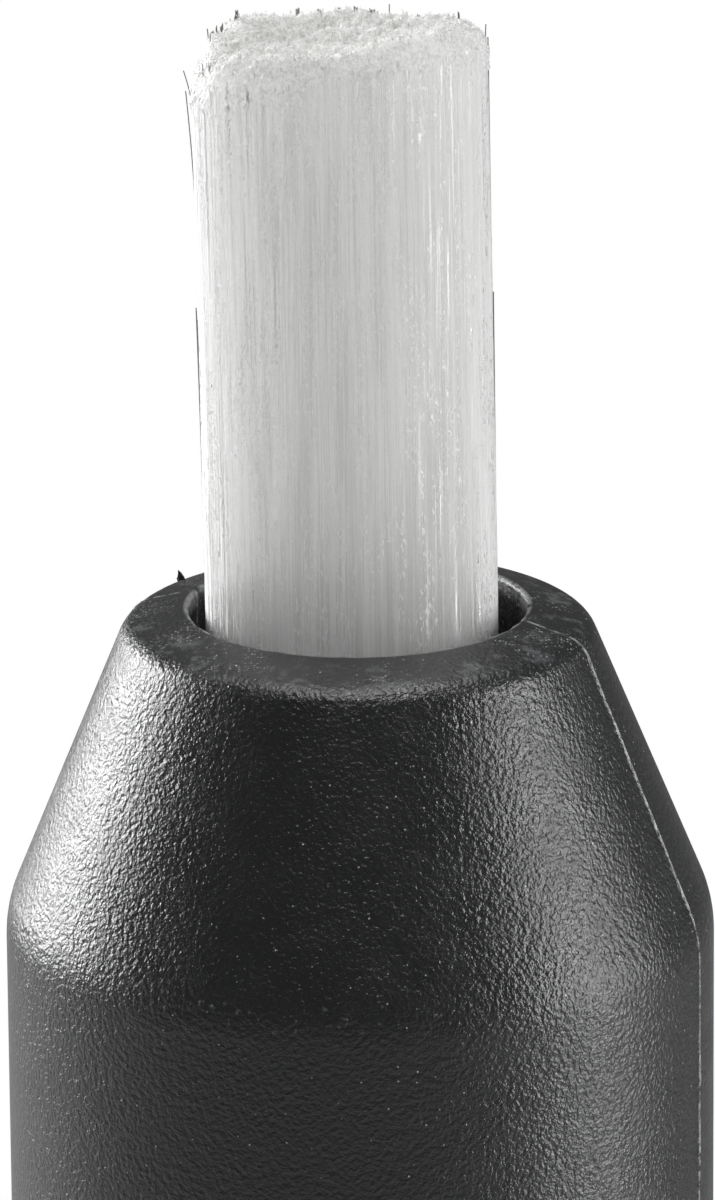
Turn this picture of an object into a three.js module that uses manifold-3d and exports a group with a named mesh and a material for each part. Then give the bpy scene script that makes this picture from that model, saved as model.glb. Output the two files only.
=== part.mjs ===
// A fibreglass cleaning pen: a twist knob turns a nut on a lead screw, which feeds a
// glass-fibre refill out of the tapered nose of a moulded barrel.
// Millimetres, +Z towards the fibre tips, origin in the middle of the rear end face.
import * as THREE from "three";
import { mergeVertices } from "three/addons/utils/BufferGeometryUtils.js";
import Module from "manifold-3d";

// Clearances
const PRESS_GAP = 0.05;
const SEAT_GAP = 0.05;
const RUNNING_GAP = 0.12;
const TUBE_GAP = 0.15;
const THREAD_GAP = 0.15;
const MOUTH_GAP = 0.1;
const KNOB_GAP = 0.25;
const STOP_GAP = 0.5;

// Refill: a bundle of glass fibres in a drawn sleeve
const BUNDLE_DIAMETER = 4;
const BUNDLE_REACH = 7.8;
const REFILL_LENGTH = 40;
const RESIN_DEPTH = 3;
const STRAND_DIAMETER = 0.145;
const STRAND_GAP = 0.02;
const STRAND_SIDES = 3;
const TIP_SLANT = THREE.MathUtils.degToRad(9);
const TIP_ROUGHNESS = 0.3;
const FERRULE_WALL = 0.15;
const FERRULE_FLOOR = 0.8;
const FERRULE_LENGTH = 9;

// Carrier that holds the refill, and its clamp ring
const COLLET_WALL = 0.58;
const SOCKET_DEPTH = 6;
const CARRIER_BASE = 6;
const SLIT_WIDTH = 0.4;
const SLIT_DEPTH = 4.5;
const KEY_LENGTH = 4;
const RING_WIDTH = 0.8;
const RING_THICKNESS = 0.24;
const RING_INSET = 1.3;
const RING_SPLIT = 0.8;

// Guide sleeve, and the barrel round it
const GUIDE_WALL = 0.8;
const SLOT_WIDTH = 1.6;
const BARREL_WALL = 1.05;
const BARREL_LENGTH = 80.4;
const BARREL_EDGE_ROUND = 0.25;
const NOSE_LENGTH = 4.4;
const SHOULDER_ROUND = 1.8;
const RIM_WIDTH = 0.85;
const RIM_DROP = 0.3;
const RIM_ROUND = 0.5;
const MOUTH_ROUND = 0.12;
const MOUTH_LAND = 2.4;
const GRIP_INSET = 12.5;
const GRIP_COUNT = 7;
const GRIP_PITCH = 2.6;
const GROOVE_WIDTH = 1.1;
const GROOVE_DEPTH = 0.35;
const GROOVE_SLOPE = 0.2;

// Drive: tube, nut and lead screw
const TUBE_WALL = 0.35;
const TUBE_FLANGE = 0.8;
const NUT_WALL = 0.45;
const NUT_LENGTH = 9;
const NUT_FLANGE = 0.8;
const THREAD_LEAD = 4;
const THREAD_DEPTH = 0.6;
const THREAD_CREST = 0.9;
const THREAD_FLANK = 0.5;
const ENGAGED_THREAD = 6;
const TANG_SHOULDER = 0.45;
const TANG_LENGTH = 3;
const TIP_COVER = 0.2;

// Bearing at the rear of the barrel
const COLLAR_FLANGE = 1;
const SPIGOT_LENGTH = 3;
const WASHER_THICKNESS = 0.4;
const POCKET_WALL = 0.25;

// Twist knob and the plug in its end
const KNOB_LENGTH = 26;
const KNOB_BACK = 8;
const KNOB_REAR_ROUND = 0.8;
const KNOB_FRONT_ROUND = 0.4;
const FLUTE_COUNT = 16;
const FLUTE_RADIUS = 0.7;
const FLUTE_DEPTH = 0.3;
const FLUTE_MARGIN = 3;
const PLUG_HEAD_WIDTH = 0.75;
const PLUG_HEAD = 1.6;
const PLUG_STEM = 3;
const PLUG_CHAMFER = 0.2;

// Fineness of the faceted surfaces
const ROUND_SIDES = 32;
const THREAD_SIDES = 16;
const FLUTE_SIDES = 8;
const FRICTION_SIDES = 8;
const FILLET_STEPS = 3;

// Radii, from the fibre bundle outwards
const bundleRadius = BUNDLE_DIAMETER / 2;
const ferruleBore = bundleRadius + PRESS_GAP;
const ferruleRadius = ferruleBore + FERRULE_WALL;
const mouthRadius = ferruleRadius + MOUTH_GAP;
const rimRadius = mouthRadius + RIM_WIDTH;
const socketRadius = ferruleRadius + SEAT_GAP;
const carrierRadius = socketRadius + COLLET_WALL;
const guideBore = carrierRadius + RUNNING_GAP;
const guideRadius = guideBore + GUIDE_WALL;
const barrelBore = guideRadius + PRESS_GAP;
const barrelRadius = barrelBore + BARREL_WALL;
const keyReach = guideRadius - RUNNING_GAP;
const keyWidth = SLOT_WIDTH - 2 * RUNNING_GAP;
const tubeRadius = guideBore - TUBE_GAP;
const tubeBore = tubeRadius - TUBE_WALL;
const nutRadius = tubeBore - PRESS_GAP;
const crestRadius = nutRadius - NUT_WALL - THREAD_GAP;
const coreRadius = crestRadius - THREAD_DEPTH;
const tangWidth = 2 * (coreRadius - TANG_SHOULDER);
const collarBore = tubeRadius + RUNNING_GAP;
const frictionPocket = guideRadius - POCKET_WALL;
const frictionSection = frictionPocket - tubeRadius - 2 * SEAT_GAP;
const frictionRadius = (frictionPocket + tubeRadius) / 2;
const knobSocket = tubeRadius + PRESS_GAP;
const plugStemRadius = tubeBore;
const plugHeadRadius = plugStemRadius + PLUG_HEAD_WIDTH;

// Heights along the pen, from the rear end face to the fibre tips
const tubeRear = KNOB_BACK + SEAT_GAP;
const collarRear = KNOB_LENGTH + KNOB_GAP;
const barrelRear = collarRear + COLLAR_FLANGE + SEAT_GAP;
const washerRear = collarRear + COLLAR_FLANGE + SPIGOT_LENGTH + SEAT_GAP;
const flangeRear = washerRear + WASHER_THICKNESS + SEAT_GAP;
const guideRear = flangeRear + TUBE_FLANGE + RUNNING_GAP;
const mouthHeight = barrelRear + BARREL_LENGTH;
const mouthTaper = barrelBore - mouthRadius;
const guideFront = mouthHeight - MOUTH_LAND - mouthTaper - SEAT_GAP;
const refillRear = mouthHeight + BUNDLE_REACH - REFILL_LENGTH;
const carrierRear = refillRear - SEAT_GAP - CARRIER_BASE;
const carrierLength = CARRIER_BASE + SOCKET_DEPTH;
const retractTravel = BUNDLE_REACH + TIP_COVER;
const advanceTravel = guideFront - carrierRear - carrierLength;
const nutFront = carrierRear - retractTravel - STOP_GAP;
const nutRear = nutFront - NUT_LENGTH;
const tubeFront = nutFront - NUT_FLANGE - SEAT_GAP;
const screwRear = nutFront - ENGAGED_THREAD - advanceTravel;

const wasm = await Module();
wasm.setup();

// A closed geometry as a solid that can be joined and cut.
function solid(geometry) {
  const bare = new THREE.BufferGeometry();
  bare.setAttribute("position", geometry.getAttribute("position"));
  bare.setIndex(geometry.index);
  const merged = mergeVertices(bare);
  const corners = merged.index.array;
  const triangles = [];
  for (let i = 0; i < corners.length; i += 3) {
    const [a, b, c] = corners.slice(i, i + 3);
    if (a !== b && b !== c && c !== a) triangles.push(a, b, c);
  }
  const mesh = new wasm.Mesh({
    numProp: 3,
    vertProperties: merged.getAttribute("position").array,
    triVerts: new Uint32Array(triangles),
  });
  return new wasm.Manifold(mesh);
}

// A solid as a named mesh, set at its height along the pen.
function piece(name, shape, material, height) {
  const { vertProperties, triVerts } = shape.getMesh();
  const geometry = new THREE.BufferGeometry();
  geometry.setAttribute("position", new THREE.BufferAttribute(vertProperties, 3));
  geometry.setIndex(new THREE.BufferAttribute(triVerts, 1));
  geometry.computeVertexNormals();
  const mesh = new THREE.Mesh(geometry, material);
  mesh.name = name;
  mesh.position.z = height;
  return mesh;
}

function finish(color, roughness, metalness = 0) {
  return new THREE.MeshStandardMaterial({ color, roughness, metalness });
}

// A corner of a turned outline: its radius, its height and its fillet.
function corner(radius, height, fillet = 0) {
  return { point: new THREE.Vector2(radius, height), fillet };
}

// The points of one corner, rounded as far as half of its shorter side allows.
function rounded({ point, fillet }, before, after) {
  if (!fillet) return [point];
  const back = before.point.clone().sub(point);
  const onward = after.point.clone().sub(point);
  const halfAngle = Math.acos(back.dot(onward) / (back.length() * onward.length())) / 2;
  const room = Math.min(back.length(), onward.length()) / 2;
  const reach = Math.min(fillet / Math.tan(halfAngle), room);
  const start = point.clone().add(back.setLength(reach));
  const end = point.clone().add(onward.setLength(reach));
  return new THREE.QuadraticBezierCurve(start, point, end).getPoints(FILLET_STEPS);
}

// A solid of revolution round Z. The corners run anticlockwise, with the radius to the right.
function turned(corners) {
  const last = corners.length - 1;
  const points = corners.flatMap((one, i) => {
    const before = corners[i === 0 ? last : i - 1];
    const after = corners[i === last ? 0 : i + 1];
    return rounded(one, before, after);
  });
  points.push(points[0].clone());
  const lathe = new THREE.LatheGeometry(points, ROUND_SIDES);
  return solid(lathe.rotateX(Math.PI / 2));
}

// A plain tube, cut square at both ends.
function sleeve(bore, radius, length) {
  return turned([
    corner(bore, 0),
    corner(radius, 0),
    corner(radius, length),
    corner(bore, length),
  ]);
}

function rod(radius, from, to, sides = ROUND_SIDES) {
  const cylinder = new THREE.CylinderGeometry(radius, radius, to - from, sides);
  return solid(cylinder.rotateX(Math.PI / 2).translate(0, 0, (from + to) / 2));
}

function block(width, depth, from, to) {
  const box = new THREE.BoxGeometry(width, depth, to - from);
  return solid(box.translate(0, 0, (from + to) / 2));
}

// A bar with a left-hand thread, whose phase is fixed at height 0. Rows of points follow the
// helix, so the last column of each turn meets the first column of the turn below it.
function threaded(from, to, core, crest, crestWidth) {
  const section = [
    [core, -crestWidth / 2 - THREAD_FLANK],
    [crest, -crestWidth / 2],
    [crest, crestWidth / 2],
    [core, crestWidth / 2 + THREAD_FLANK],
  ];
  const firstTurn = Math.floor(from / THREAD_LEAD) - 1;
  const turns = Math.ceil(to / THREAD_LEAD) + 2 - firstTurn;
  const topRow = turns * section.length - 1;
  const points = [];
  for (let row = 0; row <= topRow; row += 1) {
    const [radius, height] = section[row % section.length];
    const turn = firstTurn + Math.floor(row / section.length);
    for (let column = 0; column <= THREAD_SIDES; column += 1) {
      const part = column / THREAD_SIDES;
      const angle = 2 * Math.PI * part;
      const z = height + THREAD_LEAD * (turn - part);
      points.push(radius * Math.cos(angle), radius * Math.sin(angle), z);
    }
  }
  const at = (row, column) => row * (THREAD_SIDES + 1) + column;
  const bottom = points.length / 3;
  const top = bottom + 1;
  points.push(0, 0, points[3 * at(0, THREAD_SIDES) + 2]);
  points.push(0, 0, points[3 * at(topRow, 0) + 2]);
  const faces = [];
  for (let column = 0; column < THREAD_SIDES; column += 1) {
    for (let row = 0; row < topRow; row += 1) {
      faces.push(at(row, column), at(row, column + 1), at(row + 1, column + 1));
      faces.push(at(row, column), at(row + 1, column + 1), at(row + 1, column));
    }
    faces.push(bottom, at(0, column + 1), at(0, column));
    faces.push(top, at(topRow, column), at(topRow, column + 1));
  }
  for (let step = 0; step < section.length; step += 1) {
    const upper = topRow - section.length + step;
    faces.push(bottom, at(step + 1, THREAD_SIDES), at(step, THREAD_SIDES));
    faces.push(top, at(upper, 0), at(upper + 1, 0));
  }
  const geometry = new THREE.BufferGeometry();
  geometry.setAttribute("position", new THREE.Float32BufferAttribute(points, 3));
  geometry.setIndex(faces);
  return solid(geometry).intersect(rod(2 * crest, from, to));
}

// Ring grooves of the finger grip, as outline corners from the rear of the barrel forwards.
function gripCorners() {
  const floor = barrelRadius - GROOVE_DEPTH;
  const front = BARREL_LENGTH - GRIP_INSET;
  const grooves = Array.from({ length: GRIP_COUNT }, (_, i) => {
    const middle = front - (GRIP_COUNT - 1 - i) * GRIP_PITCH;
    return [
      corner(barrelRadius, middle - GROOVE_WIDTH / 2),
      corner(floor, middle - GROOVE_WIDTH / 2 + GROOVE_SLOPE),
      corner(floor, middle + GROOVE_WIDTH / 2 - GROOVE_SLOPE),
      corner(barrelRadius, middle + GROOVE_WIDTH / 2),
    ];
  });
  return grooves.flat();
}

function barrel() {
  const landRear = BARREL_LENGTH - MOUTH_LAND;
  const shape = turned([
    corner(barrelBore, 0),
    corner(barrelRadius, 0, BARREL_EDGE_ROUND),
    ...gripCorners(),
    corner(barrelRadius, BARREL_LENGTH - NOSE_LENGTH, SHOULDER_ROUND),
    corner(rimRadius, BARREL_LENGTH - RIM_DROP, RIM_ROUND),
    corner(mouthRadius, BARREL_LENGTH, MOUTH_ROUND),
    corner(mouthRadius, landRear),
    corner(barrelBore, landRear - mouthTaper),
  ]);
  return piece("barrel", shape, finish(0x1c1d1f, 0.55), barrelRear);
}

// The sleeve's two slots keep the carrier from turning, and are open at the front.
function guideSleeve() {
  const length = guideFront - guideRear;
  const slots = block(2 * barrelBore, SLOT_WIDTH, nutFront - guideRear, 2 * length);
  const shape = sleeve(guideBore, guideRadius, length).subtract(slots);
  return piece("guide_sleeve", shape, finish(0xd8d6cc, 0.5), guideRear);
}

// The collar is pressed into the barrel. Its front pocket holds the friction ring.
function retainingCollar() {
  const front = COLLAR_FLANGE + SPIGOT_LENGTH;
  const pocketFloor = front - frictionSection - 2 * SEAT_GAP;
  const shape = turned([
    corner(collarBore, 0),
    corner(barrelRadius, 0, BARREL_EDGE_ROUND),
    corner(barrelRadius, COLLAR_FLANGE, BARREL_EDGE_ROUND),
    corner(guideRadius, COLLAR_FLANGE),
    corner(guideRadius, front),
    corner(frictionPocket, front),
    corner(frictionPocket, pocketFloor),
    corner(collarBore, pocketFloor),
  ]);
  return piece("retaining_collar", shape, finish(0x34373a, 0.45), collarRear);
}

function frictionRing() {
  const section = frictionSection / 2;
  const torus = new THREE.TorusGeometry(frictionRadius, section, FRICTION_SIDES, ROUND_SIDES);
  const height = washerRear - 2 * SEAT_GAP - section;
  return piece("friction_ring", solid(torus), finish(0x141414, 0.8), height);
}

function thrustWasher() {
  const shape = sleeve(collarBore, guideRadius - SEAT_GAP, WASHER_THICKNESS);
  return piece("thrust_washer", shape, finish(0xb9bcc0, 0.3, 1), washerRear);
}

function twistKnob() {
  const headFloor = PLUG_HEAD + SEAT_GAP;
  const shape = turned([
    corner(plugHeadRadius + PRESS_GAP, 0),
    corner(barrelRadius, 0, KNOB_REAR_ROUND),
    corner(barrelRadius, KNOB_LENGTH, KNOB_FRONT_ROUND),
    corner(knobSocket, KNOB_LENGTH),
    corner(knobSocket, KNOB_BACK),
    corner(plugStemRadius + PRESS_GAP, KNOB_BACK),
    corner(plugStemRadius + PRESS_GAP, headFloor),
    corner(plugHeadRadius + PRESS_GAP, headFloor),
  ]);
  const cutter = rod(FLUTE_RADIUS, FLUTE_MARGIN, KNOB_LENGTH - FLUTE_MARGIN, FLUTE_SIDES);
  const offset = barrelRadius - FLUTE_DEPTH + FLUTE_RADIUS;
  const flutes = Array.from({ length: FLUTE_COUNT }, (_, i) =>
    cutter.translate(offset, 0, 0).rotate(0, 0, (360 * i) / FLUTE_COUNT),
  );
  const fluted = shape.subtract(wasm.Manifold.union(flutes));
  return piece("twist_knob", fluted, finish(0x1c1d1f, 0.5), 0);
}

function endPlug() {
  const shape = turned([
    corner(0, 0),
    corner(plugHeadRadius - PLUG_CHAMFER, 0),
    corner(plugHeadRadius, PLUG_CHAMFER),
    corner(plugHeadRadius, PLUG_HEAD),
    corner(plugStemRadius, PLUG_HEAD),
    corner(plugStemRadius, PLUG_HEAD + PLUG_STEM),
    corner(0, PLUG_HEAD + PLUG_STEM),
  ]);
  return piece("end_plug", shape, finish(0x4a4d50, 0.5), 0);
}

// The tube turns with the knob. Its flange runs behind the guide sleeve.
function driveTube() {
  const flange = flangeRear - tubeRear;
  const length = tubeFront - tubeRear;
  const shape = turned([
    corner(tubeBore, 0),
    corner(tubeRadius, 0),
    corner(tubeRadius, flange),
    corner(guideRadius - SEAT_GAP, flange),
    corner(guideRadius - SEAT_GAP, flange + TUBE_FLANGE),
    corner(tubeRadius, flange + TUBE_FLANGE),
    corner(tubeRadius, length),
    corner(tubeBore, length),
  ]);
  return piece("drive_tube", shape, finish(0xb08d4c, 0.35, 1), tubeRear);
}

function driveNut() {
  const flangeHeight = NUT_LENGTH - NUT_FLANGE;
  const blank = turned([
    corner(0, 0),
    corner(nutRadius, 0),
    corner(nutRadius, flangeHeight),
    corner(tubeRadius, flangeHeight),
    corner(tubeRadius, NUT_LENGTH),
    corner(0, NUT_LENGTH),
  ]);
  const onScrew = nutRear - screwRear;
  const thread = threaded(
    onScrew - THREAD_LEAD,
    onScrew + NUT_LENGTH + THREAD_LEAD,
    coreRadius + THREAD_GAP,
    crestRadius + THREAD_GAP,
    THREAD_CREST + 2 * THREAD_GAP,
  );
  const shape = blank.subtract(thread.translate(0, 0, -onScrew));
  return piece("drive_nut", shape, finish(0xd8d6cc, 0.5), nutRear);
}

function leadScrew() {
  const length = carrierRear - SEAT_GAP - screwRear;
  const thread = threaded(0, length, coreRadius, crestRadius, THREAD_CREST);
  const tang = block(tangWidth, tangWidth, length - TANG_LENGTH, length + TANG_LENGTH);
  return piece("lead_screw", thread.add(tang), finish(0x2a2c2f, 0.5), screwRear);
}

// Two keys run in the guide sleeve. Four fingers at the front grip the refill.
function carrier() {
  const ringRear = carrierLength - RING_INSET - RING_WIDTH - SEAT_GAP;
  const ringFront = carrierLength - RING_INSET + SEAT_GAP;
  const grooveRadius = carrierRadius - RING_THICKNESS - 2 * SEAT_GAP;
  const bar = turned([
    corner(0, 0),
    corner(carrierRadius, 0),
    corner(carrierRadius, ringRear),
    corner(grooveRadius, ringRear),
    corner(grooveRadius, ringFront),
    corner(carrierRadius, ringFront),
    corner(carrierRadius, carrierLength),
    corner(0, carrierLength),
  ]);
  const keys = block(2 * keyReach, keyWidth, 0, KEY_LENGTH);
  const socket = rod(socketRadius, CARRIER_BASE, 2 * carrierLength);
  const slitRear = carrierLength - SLIT_DEPTH;
  const slit = block(2 * barrelRadius, SLIT_WIDTH, slitRear, 2 * carrierLength);
  const tangHole = tangWidth + 2 * SEAT_GAP;
  const hole = block(tangHole, tangHole, -TANG_LENGTH, TANG_LENGTH + SEAT_GAP);
  const shape = bar
    .add(keys)
    .subtract(socket)
    .subtract(slit)
    .subtract(slit.rotate(0, 0, 90))
    .subtract(hole);
  return piece("carrier", shape, finish(0xd8d6cc, 0.5), carrierRear);
}

// A split spring ring that closes the carrier's fingers on the refill.
function colletRing() {
  const bore = carrierRadius - RING_THICKNESS - SEAT_GAP;
  const split = block(carrierRadius, RING_SPLIT, -RING_WIDTH, 2 * RING_WIDTH);
  const shape = sleeve(bore, bore + RING_THICKNESS, RING_WIDTH).subtract(
    split.translate(carrierRadius, 0, 0),
  );
  const height = carrierRear + carrierLength - RING_INSET - RING_WIDTH;
  return piece("collet_ring", shape, finish(0xb9bcc0, 0.3, 1), height);
}

function ferrule() {
  const shape = turned([
    corner(0, 0),
    corner(ferruleRadius, 0),
    corner(ferruleRadius, FERRULE_LENGTH),
    corner(ferruleBore, FERRULE_LENGTH),
    corner(ferruleBore, FERRULE_FLOOR),
    corner(0, FERRULE_FLOOR),
  ]);
  return piece("ferrule", shape, finish(0xb08d4c, 0.35, 1), refillRear);
}

// Strands stand on a sunflower spiral, glued together in a slice of resin at their rear end.
// Neighbours on the spiral lie at least SPIRAL_SPACING times its pitch apart.
function fibreBundle() {
  const SPIRAL_SPACING = 1.54;
  const GOLDEN_ANGLE = Math.PI * (3 - Math.sqrt(5));
  const GOLDEN_SHARE = (Math.sqrt(5) - 1) / 2;
  const radius = STRAND_DIAMETER / 2;
  const pitch = (STRAND_DIAMETER + STRAND_GAP) / SPIRAL_SPACING;
  const count = Math.floor(((bundleRadius - radius) / pitch) ** 2);
  const rear = refillRear + FERRULE_FLOOR + SEAT_GAP;
  const length = mouthHeight + BUNDLE_REACH - rear;
  const strands = Array.from({ length: count }, (_, i) => {
    const distance = pitch * Math.sqrt(i + 0.5);
    const angle = i * GOLDEN_ANGLE;
    const x = distance * Math.cos(angle);
    const y = distance * Math.sin(angle);
    const wear = TIP_ROUGHNESS * (((i * i * GOLDEN_SHARE) % 1) - 0.5);
    const tip = length + x * Math.tan(TIP_SLANT) + wear;
    return rod(radius, RESIN_DEPTH / 2, tip, STRAND_SIDES).translate(x, y, 0);
  });
  const shape = wasm.Manifold.union([rod(bundleRadius, 0, RESIN_DEPTH), ...strands]);
  return piece("fibre_bundle", shape, finish(0xd4d6d0, 0.4), rear);
}

const knob = new THREE.Group();
knob.add(twistKnob(), endPlug(), driveTube(), driveNut());

const refill = new THREE.Group();
refill.add(ferrule(), fibreBundle());

const feed = new THREE.Group();
feed.add(leadScrew(), carrier(), colletRing(), refill);

const pen = new THREE.Group();
pen.add(barrel(), guideSleeve(), retainingCollar(), frictionRing(), thrustWasher(), knob, feed);

export default pen;
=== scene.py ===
"""The looks of a fibreglass cleaning pen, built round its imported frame.

Sizes are in millimetres and are turned into metres when a mesh is made. A bearing is an angle round
the pen's axis, from the viewer's direction towards +X.
"""

import math

import bpy
import numpy as np
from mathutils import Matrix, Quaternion, Vector


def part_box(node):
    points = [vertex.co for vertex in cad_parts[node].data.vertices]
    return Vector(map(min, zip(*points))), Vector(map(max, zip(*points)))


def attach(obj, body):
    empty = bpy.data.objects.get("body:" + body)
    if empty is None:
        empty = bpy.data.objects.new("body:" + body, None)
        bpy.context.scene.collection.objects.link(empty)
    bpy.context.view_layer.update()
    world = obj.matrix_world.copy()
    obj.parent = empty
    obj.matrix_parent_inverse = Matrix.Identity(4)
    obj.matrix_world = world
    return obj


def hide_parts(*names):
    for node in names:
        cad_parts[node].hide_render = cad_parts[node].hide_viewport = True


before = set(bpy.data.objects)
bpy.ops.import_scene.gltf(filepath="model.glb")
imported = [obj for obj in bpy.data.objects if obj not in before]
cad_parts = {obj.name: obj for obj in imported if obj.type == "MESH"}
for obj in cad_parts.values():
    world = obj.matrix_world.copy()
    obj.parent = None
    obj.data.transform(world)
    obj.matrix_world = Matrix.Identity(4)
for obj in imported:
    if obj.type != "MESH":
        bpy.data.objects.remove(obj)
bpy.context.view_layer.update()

MM = 0.001


def box_mm(node):
    """Lowest and highest corner of a CAD node, in millimetres."""
    low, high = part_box(node)
    return np.array(low) / MM, np.array(high) / MM


# Places that the frame gives
BARREL_LOW, BARREL_HIGH = box_mm("barrel")
COLLAR_LOW, COLLAR_HIGH = box_mm("retaining_collar")
KNOB_LOW, KNOB_HIGH = box_mm("twist_knob")
PLUG_LOW, PLUG_HIGH = box_mm("end_plug")
FERRULE_LOW, FERRULE_HIGH = box_mm("ferrule")
BUNDLE_LOW, BUNDLE_HIGH = box_mm("fibre_bundle")
GUIDE_RADIUS = box_mm("guide_sleeve")[1][0]

# Gaps round pieces that go into one another
FIT_GAP = 0.05
MOUTH_GAP = 0.1

BARREL_RADIUS = BARREL_HIGH[0]
BARREL_REAR = BARREL_LOW[2]
BORE_RADIUS = GUIDE_RADIUS + FIT_GAP
BUNDLE_RADIUS = BUNDLE_HIGH[0]
MOUTH_HEIGHT = BARREL_HIGH[2]
MOUTH_RADIUS = FERRULE_HIGH[0] + MOUTH_GAP

# Edge roundings that several pieces share
FINE_ROUND = 0.05
INNER_ROUND = 0.1
SOFT_ROUND = 0.2
END_ROUND = 0.25

# Turned meshes: longest step along an outline, columns round the axis, and the pinhole left on it
BARREL_STEP = 0.6
BARREL_COLUMNS = 156
KNOB_STEP = 0.35
FLUTE_COLUMNS = 16
OUTLINE_STEP = 0.3
COLLAR_COLUMNS = 160
SMALL_COLUMNS = 96
AXIS_RADIUS = 0.02

# Nose of the barrel. Nicks are counts of waves round the mouth's worn edge
MOUTH_ROUND = 0.07
MOUTH_WEAR = 0.03
MOUTH_NICKS = (19, 31, 47)
MOUTH_LAND = 2.4
RIM_WIDTH = 0.88
RIM_RADIUS = MOUTH_RADIUS + RIM_WIDTH
RIM_DROP = 0.25
RIM_ROUND = 0.42
NOSE_LENGTH = 4.3
SHOULDER_ROUND = 1.8

# Finger grip
GRIP_INSET = 12.5
GRIP_COUNT = 7
GRIP_PITCH = 2.6
GROOVE_WIDTH = 1.1
GROOVE_DEPTH = 0.35
GROOVE_SLOPE = 0.2
GROOVE_ROUND = 0.12

# Mould parting line: a low, uneven ridge. Columns beside it are counted in ridge widths
PARTING_BEARING = math.radians(71.6)
RIDGE_HEIGHT = 0.03
RIDGE_WIDTH = 0.03
RIDGE_UNEVEN = 0.35
RIDGE_WAVES = (9.1, 3.7)
RIDGE_COLUMNS = (-4, -2, -1.2, -0.6, 0, 0.6, 1.2, 2, 4)

# Torn sliver of mould flash
FLASH_BEARING = math.radians(233)
FLASH_RADIUS = 3.0
FLASH_DROP = 0.3
FLASH_HEIGHT = 0.19
FLASH_TILT = 0.06
FLASH_WIDTH = 0.17
FLASH_WIDTH_TAPER = 0.35
FLASH_THICKNESS = 0.06
FLASH_THICKNESS_TAPER = 0.4
FLASH_UNEVEN = 0.35
FLASH_LEAN = 0.051
FLASH_CURL = 0.05
FLASH_ROWS = 7
FLASH_COLUMNS = 10

# Collar
COLLAR_FLANGE = 1
COLLAR_BORE = 3.0
RECESS_RADIUS = 3.5
RECESS_DEPTH = 0.7

# Knob and its plug
KNOB_REAR_ROUND = 0.8
KNOB_FRONT_ROUND = 0.4
KNOB_LIP_ROUND = 0.15
TUBE_SEAT_RADIUS = 2.85
TUBE_SEAT_HEIGHT = 8
FLUTE_COUNT = 16
FLUTE_RADIUS = 0.7
FLUTE_DEPTH = 0.3
FLUTE_MARGIN = 3
FLUTE_RUNOUT = 1.2
HEAD_THICKNESS = 1.6
SPIGOT_RADIUS = 2.45
SPIGOT_ROUND = 0.3
DIMPLE_RADIUS = 0.7
DIMPLE_SLOPE = 0.1
DIMPLE_DEPTH = 0.15

# Ferrule
FERRULE_FLOOR = 0.8
FERRULE_ROUND = 0.4
CRIMP_INSET = 1.6
CRIMP_DEPTH = 0.08
CRIMP_REACH = 0.5
CRIMP_FLAT = 0.3

# Fibre bundle: its worn tip rises on one side, with a pit at the back and a short layer at the left
BUNDLE_REACH = 7.87
BUNDLE_SHIFT = 0.08
TIP_HEIGHT = MOUTH_HEIGHT + BUNDLE_REACH
TIP_RISE = 0.5
TIP_CURVE = 1.3
TIP_BEARING = math.radians(42)
LUMP_HEIGHT = 0.05
LUMP_WAVES = (2.3, 2.9)
RIPPLE_HEIGHT = 0.04
RIPPLE_WAVES = (3.3, 5.1)
PIT_DEPTH = 0.14
PIT_X, PIT_Y = -0.25, 1.2
PIT_WIDTH, PIT_LENGTH = 0.25, 0.5
STEP_HEIGHT = 0.3
STEP_REACH = 1.72
FIBRE_PITCH = 0.03
EDGE_ROUND = 0.42

# Skin of the bundle. A fibre's sway is in columns
SKIN_FIBRES = 420
SKIN_DEPTH = 0.014
SKIN_UNEVEN = 0.02
FIBRE_SWAY = 0.3
FIBRE_WANDER = 0.5
MOST_SWAY = 0.4
FRAY_HEIGHT = 0.8
FRAY_UNEVEN = 0.02
HIDDEN_DEPTH = 1
INSIDE_ROWS = 8
SHOWN_ROWS = 13
FRAY_ROWS = 16
ROLL_ROWS = 14
TIP_RINGS = 52
AXIS_SHARE = 0.01

# Felted fibre ends
FELT_WAVES = 160
FELT_LENGTHS = (0.09, 0.32)
FELT_HEIGHT = 0.024
FELT_HANG = 0.3
FELT_EDGE = 0.08
HEM_WAVES = 40
EDGE_TORN = 0.8

# Broken ends that lie across the tip. Ranges of widths are multiples of CRUMB_WIDTH, and tilts radians
CRUMBS = 6000
CRUMB_WIDTH = 0.013
CRUMB_WIDTHS = (0.6, 1.7)
CRUMB_LENGTHS = (0.02, 0.07)
CRUMB_TILTS = (0.3, 1.5)
CRUMB_SINK = 0.006
CRUMB_MARGIN = 0.05

# Fragments that cling to the sides
FLUFF = 700
FLUFF_WIDTHS = (0.5, 1)
FLUFF_LENGTHS = (0.015, 0.06)
FLUFF_RISE = 0.1
FLUFF_HANG = 0.16
FLUFF_SLOPE = 0.8
FLUFF_SINK = 0.012
FLUFF_STAND = (-0.012, 0.004)

# Tufts of longer ends round the edge of the tip
TUFTS = 34
TUFT_FIBRES = 5
TUFT_BEARINGS = np.radians([85, 275])
TUFT_INSETS = (0.14, 0.3)
TUFT_RISES = (0.02, 0.08)
TUFT_UNEVEN = 0.04
TUFT_ROOT = 0.2

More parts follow.
